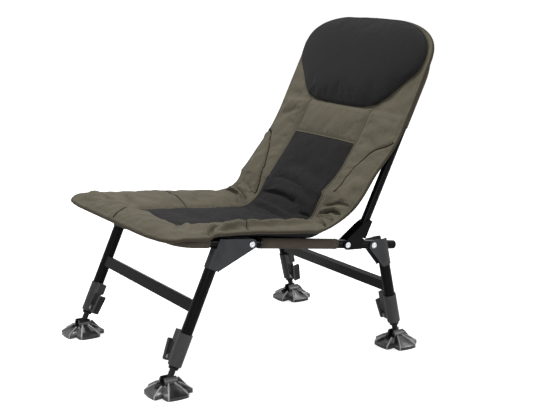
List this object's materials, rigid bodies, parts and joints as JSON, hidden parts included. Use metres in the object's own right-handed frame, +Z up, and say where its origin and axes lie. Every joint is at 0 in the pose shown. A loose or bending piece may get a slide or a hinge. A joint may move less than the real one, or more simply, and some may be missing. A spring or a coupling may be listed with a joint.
{
  "type": "folding fishing chair",
  "caption": "Low folding outdoor chair: one padded mattress on a cloth sling, reclined tube back, fold-under leg frames, telescopic cam-clamped legs and swivelling mud feet",
  "frame": {"origin": "on the ground, at the centre of the chair's overall outline in plan", "axes": "X across the chair, +X on the sitter's left; -Y the way the sitter faces; +Z up"},
  "size_m": [0.5246, 0.742, 0.7423],
  "materials": {
    "black_frame": "satin black powder coat",
    "grey_bracket": "satin dark grey powder coat",
    "zinc_fastener": "bright zinc plate",
    "clamp_plastic": "fine-grained moulded plastic",
    "black_plastic": "moulded plastic",
    "foot_plastic": "glossy moulded plastic",
    "sling_cloth": "brown woven polyester",
    "olive_cloth": "grey-olive brushed polyester over foam",
    "black_cloth": "near-black ribbed polyester over foam"
  },
  "bodies": {
    "seat_frame": {"seat_tube": "black_frame", "rail_end_cap_left": "black_plastic", "rail_end_cap_right": "black_plastic", "rail_collar_left": "black_plastic", "rail_collar_right": "black_plastic", "suspension_sling": "sling_cloth", "seat_cushion": "olive_cloth", "crease_strip": "black_cloth", "front_leg_rivet_left": "zinc_fastener", "front_leg_rivet_right": "zinc_fastener", "backrest_rivet_left": "zinc_fastener", "backrest_rivet_right": "zinc_fastener", "rear_leg_rivet_left": "zinc_fastener", "rear_leg_rivet_right": "zinc_fastener"},
    "backrest": {"backrest_tube": "black_frame", "backrest_cloth": "sling_cloth", "back_cushion": "olive_cloth", "head_pillow": "black_cloth", "backrest_bracket_left": "grey_bracket", "backrest_bracket_right": "grey_bracket"},
    "front_legs": {"front_crossbar": "black_frame", "front_leg_tube_left": "black_frame", "front_leg_bracket_left": "grey_bracket", "clamp_housing_front_left": "clamp_plastic", "lever_pin_front_left": "zinc_fastener", "front_leg_tube_right": "black_frame", "front_leg_bracket_right": "grey_bracket", "clamp_housing_front_right": "clamp_plastic", "lever_pin_front_right": "zinc_fastener"},
    "rear_legs": {"rear_crossbar": "black_frame", "rear_leg_tube_left": "black_frame", "rear_leg_bracket_left": "grey_bracket", "clamp_housing_rear_left": "clamp_plastic", "lever_pin_rear_left": "zinc_fastener", "rear_leg_tube_right": "black_frame", "rear_leg_bracket_right": "grey_bracket", "clamp_housing_rear_right": "clamp_plastic", "lever_pin_rear_right": "zinc_fastener"},
    "inner_leg_front_left": {"inner_leg_front_left": "grey_bracket"},
    "ball_stud_front_left": {"ball_stud_front_left": "black_plastic"},
    "mud_foot_front_left": {"mud_foot_front_left": "foot_plastic"},
    "clamp_lever_front_left": {"clamp_lever_front_left": "black_plastic"},
    "inner_leg_front_right": {"inner_leg_front_right": "grey_bracket"},
    "ball_stud_front_right": {"ball_stud_front_right": "black_plastic"},
    "mud_foot_front_right": {"mud_foot_front_right": "foot_plastic"},
    "clamp_lever_front_right": {"clamp_lever_front_right": "black_plastic"},
    "inner_leg_rear_left": {"inner_leg_rear_left": "grey_bracket"},
    "ball_stud_rear_left": {"ball_stud_rear_left": "black_plastic"},
    "mud_foot_rear_left": {"mud_foot_rear_left": "foot_plastic"},
    "clamp_lever_rear_left": {"clamp_lever_rear_left": "black_plastic"},
    "inner_leg_rear_right": {"inner_leg_rear_right": "grey_bracket"},
    "ball_stud_rear_right": {"ball_stud_rear_right": "black_plastic"},
    "mud_foot_rear_right": {"mud_foot_rear_right": "foot_plastic"},
    "clamp_lever_rear_right": {"clamp_lever_rear_right": "black_plastic"}
  },
  "joints": [
    {"name": "backrest_fold", "type": "hinge", "parent": "seat_frame", "child": "backrest", "pos_m": [0, 0.11366, 0.26011], "axis": [1, 0, 0], "range_deg": [0, 64], "deforming": ["crease_strip"]},
    {"name": "front_legs_fold", "type": "hinge", "parent": "seat_frame", "child": "front_legs", "pos_m": [0, -0.13531, 0.292], "axis": [1, 0, 0], "range_deg": [0, 101]},
    {"name": "rear_legs_fold", "type": "hinge", "parent": "seat_frame", "child": "rear_legs", "pos_m": [0, 0.18705, 0.2507], "axis": [1, 0, 0], "range_deg": [-97, 0]},
    {"name": "leg_slide_front_left", "type": "slide", "parent": "front_legs", "child": "inner_leg_front_left", "axis": [0, 0.3987, 0.9171], "range_m": [-0.1, 0]},
    {"name": "foot_spin_front_left", "type": "hinge", "parent": "inner_leg_front_left", "child": "ball_stud_front_left", "pos_m": [0.216, -0.32471, 0.025], "axis": [0, -0.3987, -0.9171], "continuous": true},
    {"name": "foot_tilt_front_left", "type": "hinge", "parent": "ball_stud_front_left", "child": "mud_foot_front_left", "pos_m": [0.216, -0.32471, 0.025], "axis": [-1, 0, 0], "range_deg": [-9, 45]},
    {"name": "clamp_lever_turn_front_left", "type": "hinge", "parent": "front_legs", "child": "clamp_lever_front_left", "pos_m": [0.1925, -0.30676, 0.06627], "axis": [0, -0.9171, 0.3987], "range_deg": [0, 86]},
    {"name": "leg_slide_front_right", "type": "slide", "parent": "front_legs", "child": "inner_leg_front_right", "axis": [0, 0.3987, 0.9171], "range_m": [-0.1, 0]},
    {"name": "foot_spin_front_right", "type": "hinge", "parent": "inner_leg_front_right", "child": "ball_stud_front_right", "pos_m": [-0.216, -0.32471, 0.025], "axis": [0, -0.3987, -0.9171], "continuous": true},
    {"name": "foot_tilt_front_right", "type": "hinge", "parent": "ball_stud_front_right", "child": "mud_foot_front_right", "pos_m": [-0.216, -0.32471, 0.025], "axis": [-1, 0, 0], "range_deg": [-9, 45]},
    {"name": "clamp_lever_turn_front_right", "type": "hinge", "parent": "front_legs", "child": "clamp_lever_front_right", "pos_m": [-0.1925, -0.30676, 0.06627], "axis": [0, 0.9171, -0.3987], "range_deg": [0, 86]},
    {"name": "leg_slide_rear_left", "type": "slide", "parent": "rear_legs", "child": "inner_leg_rear_left", "axis": [0, 0.2419, -0.9703], "range_m": [0, 0.1]},
    {"name": "foot_spin_rear_left", "type": "hinge", "parent": "inner_leg_rear_left", "child": "ball_stud_rear_left", "pos_m": [0.216, 0.2731, 0.025], "axis": [0, 0.2419, -0.9703], "continuous": true},
    {"name": "foot_tilt_rear_left", "type": "hinge", "parent": "ball_stud_rear_left", "child": "mud_foot_rear_left", "pos_m": [0.216, 0.2731, 0.025], "axis": [1, 0, 0], "range_deg": [-30, 45]},
    {"name": "clamp_lever_turn_rear_left", "type": "hinge", "parent": "rear_legs", "child": "clamp_lever_rear_left", "pos_m": [0.1925, 0.26221, 0.06866], "axis": [0, -0.9703, -0.2419], "range_deg": [0, 86]},
    {"name": "leg_slide_rear_right", "type": "slide", "parent": "rear_legs", "child": "inner_leg_rear_right", "axis": [0, 0.2419, -0.9703], "range_m": [0, 0.1]},
    {"name": "foot_spin_rear_right", "type": "hinge", "parent": "inner_leg_rear_right", "child": "ball_stud_rear_right", "pos_m": [-0.216, 0.2731, 0.025], "axis": [0, 0.2419, -0.9703], "continuous": true},
    {"name": "foot_tilt_rear_right", "type": "hinge", "parent": "ball_stud_rear_right", "child": "mud_foot_rear_right", "pos_m": [-0.216, 0.2731, 0.025], "axis": [1, 0, 0], "range_deg": [-30, 45]},
    {"name": "clamp_lever_turn_rear_right", "type": "hinge", "parent": "rear_legs", "child": "clamp_lever_rear_right", "pos_m": [-0.1925, 0.26221, 0.06866], "axis": [0, 0.9703, 0.2419], "range_deg": [0, 86]}
  ]
}
